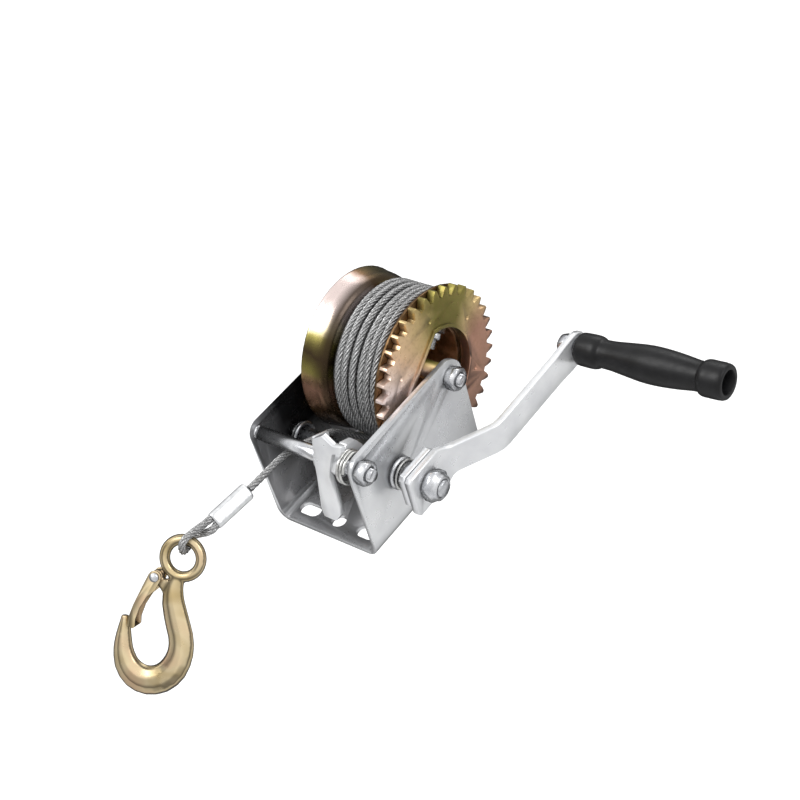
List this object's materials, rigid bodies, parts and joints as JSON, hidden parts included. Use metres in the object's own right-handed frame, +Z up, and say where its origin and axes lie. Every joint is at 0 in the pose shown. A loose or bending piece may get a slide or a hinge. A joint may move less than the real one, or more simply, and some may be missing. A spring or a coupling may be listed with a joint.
{
  "type": "boat trailer winch",
  "caption": "Hand winch with a channel frame, geared cable drum, cranked handle, reversing pawl, and a steel rope ending in a snap hook.",
  "frame": {"origin": "the middle of the underside of the frame's base, where the winch is bolted to its post", "axes": "+X along the drum axis towards the crank, -Y the way the rope pulls, +Z up out of the base"},
  "size_m": [0.2346, 0.3121, 0.1288],
  "materials": {
    "zinc_plate": "bright zinc plated pressed steel, softly reflective",
    "fastener_zinc": "zinc plated turned steel",
    "gold_zinc": "yellow passivated zinc plate with a faint iridescence",
    "shaft_steel": "machined steel, lightly oiled",
    "wire_rope": "galvanised stranded wire",
    "ferrule_aluminium": "pressed aluminium, satin",
    "spring_steel": "bright spring wire",
    "grip_plastic": "black moulded plastic, satin"
  },
  "bodies": {
    "frame_body": {"frame": "zinc_plate", "tie_rod": "fastener_zinc", "tie_nut_right": "fastener_zinc", "axle_bolt": "fastener_zinc", "axle_nut": "fastener_zinc", "drive_bush_left": "shaft_steel", "drive_bush_right": "shaft_steel", "free_cable": "wire_rope", "ferrule": "ferrule_aluminium", "cable_loop": "wire_rope"},
    "drum": {"drum_hub_tube": "gold_zinc", "left_flange": "gold_zinc", "drum_barrel": "gold_zinc", "right_flange": "gold_zinc", "drum_gear": "gold_zinc", "cable_winding": "wire_rope", "cable_clamp": "shaft_steel", "cable_clamp_screw": "fastener_zinc"},
    "drive": {"pinion_shaft": "shaft_steel", "shaft_clip": "spring_steel", "thrust_washer": "fastener_zinc", "spring_washer": "spring_steel", "shaft_collar": "fastener_zinc", "crank_hub": "zinc_plate", "crank_arm": "zinc_plate", "crank_lock_nut": "fastener_zinc", "grip_bolt": "fastener_zinc", "grip_nut": "fastener_zinc", "grip_washer": "fastener_zinc"},
    "handle_grip": {"grip": "grip_plastic"},
    "pawl_body": {"pawl": "zinc_plate", "pawl_spring": "spring_steel"},
    "hook_body": {"hook": "gold_zinc", "latch_rivet": "fastener_zinc", "latch_spring": "spring_steel"},
    "latch_body": {"hook_latch": "gold_zinc"}
  },
  "joints": [
    {"name": "drum_spin", "type": "hinge", "parent": "frame_body", "child": "drum", "pos_m": [0, 0.041, 0.062], "axis": [1, 0, 0], "continuous": true},
    {"name": "crank_spin", "type": "hinge", "parent": "frame_body", "child": "drive", "pos_m": [0, -0.01805, 0.03886], "axis": [1, 0, 0], "continuous": true},
    {"name": "grip_spin", "type": "hinge", "parent": "drive", "child": "handle_grip", "pos_m": [0.0755, 0.11195, 0.03886], "axis": [0.9968, 0, 0.0802], "continuous": true},
    {"name": "pawl_swing", "type": "hinge", "parent": "frame_body", "child": "pawl_body", "pos_m": [0, -0.045, 0.065], "axis": [1, 0, 0], "range_deg": [0, 20], "stiffness_Nm_per_rad": 0.3, "springref_deg": -20.05},
    {"name": "hook_swing", "type": "hinge", "parent": "frame_body", "child": "hook_body", "pos_m": [-0.0296, -0.12643, 0.04983], "axis": [0.4226, -0.6727, 0.6074], "range_deg": [-35, 12]},
    {"name": "latch_open", "type": "hinge", "parent": "hook_body", "child": "latch_body", "pos_m": [-0.04048, -0.14211, 0.03998], "axis": [0.4226, -0.6727, 0.6074], "range_deg": [0, 30], "stiffness_Nm_per_rad": 0.02, "springref_deg": -17.19}
  ],
  "couplings": [
    {"joint": "crank_spin", "follows": "drum_spin", "ratio": -3.7778}
  ]
}
